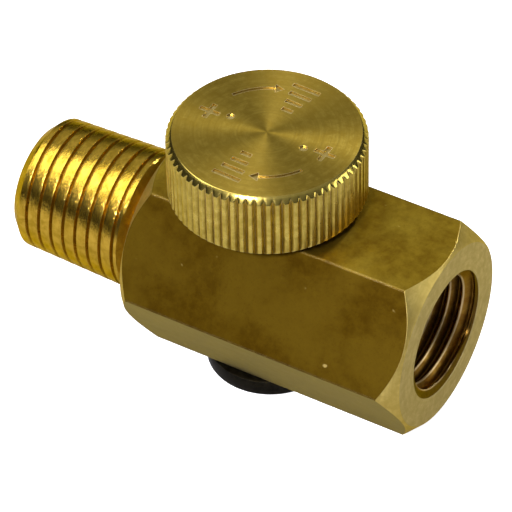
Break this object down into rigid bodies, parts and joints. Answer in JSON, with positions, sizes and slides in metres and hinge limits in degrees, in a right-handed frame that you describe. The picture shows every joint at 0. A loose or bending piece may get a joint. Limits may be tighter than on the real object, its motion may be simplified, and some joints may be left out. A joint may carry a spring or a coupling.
{
  "type": "needle valve",
  "caption": "In-line needle valve: hexagonal brass body, male taper pipe thread one end, female port the other, knurled round knob on top.",
  "frame": {"origin": "middle of the length and width, at the height of the lowest face (the underside of the bottom plug); the flow axis is 11.6 mm above it and the stem axis 3.125 mm towards +X", "axes": "+X along the flow axis, out of the female port (the male thread points to -X); +Z along the stem axis, up through the knob; +Y across the body"},
  "size_m": [0.045, 0.022, 0.0288],
  "materials": {
    "brass": "machined, slightly tarnished",
    "turned_brass": "fine turned",
    "stainless_steel": "ground",
    "blackened_steel": "black oxide",
    "black_rubber": "matte",
    "white_plastic": "machined"
  },
  "bodies": {
    "valve_body": {"body": "brass", "gland_bush": "brass", "gland_bush_o_ring": "black_rubber", "seat_insert": "white_plastic", "bottom_plug": "blackened_steel", "bottom_plug_o_ring": "black_rubber"},
    "stem_seal": {"stem_o_ring": "black_rubber", "stem_backup_ring": "white_plastic"},
    "knob_and_stem": {"stem": "stainless_steel", "stem_stop_ring": "stainless_steel", "knob": "turned_brass", "knob_set_screw": "blackened_steel"}
  },
  "joints": [
    {"name": "stem_lift", "type": "slide", "parent": "valve_body", "child": "stem_seal", "axis": [0, 0, 1], "range_m": [-0.0004, 0.002]},
    {"name": "knob_turn", "type": "hinge", "parent": "stem_seal", "child": "knob_and_stem", "pos_m": [0.00313, 0, 0.0222], "axis": [0, 0, 1], "range_deg": [-180, 900]}
  ],
  "couplings": [
    {"joint": "stem_lift", "follows": "knob_turn", "m_per_rad": 0.00012633}
  ]
}
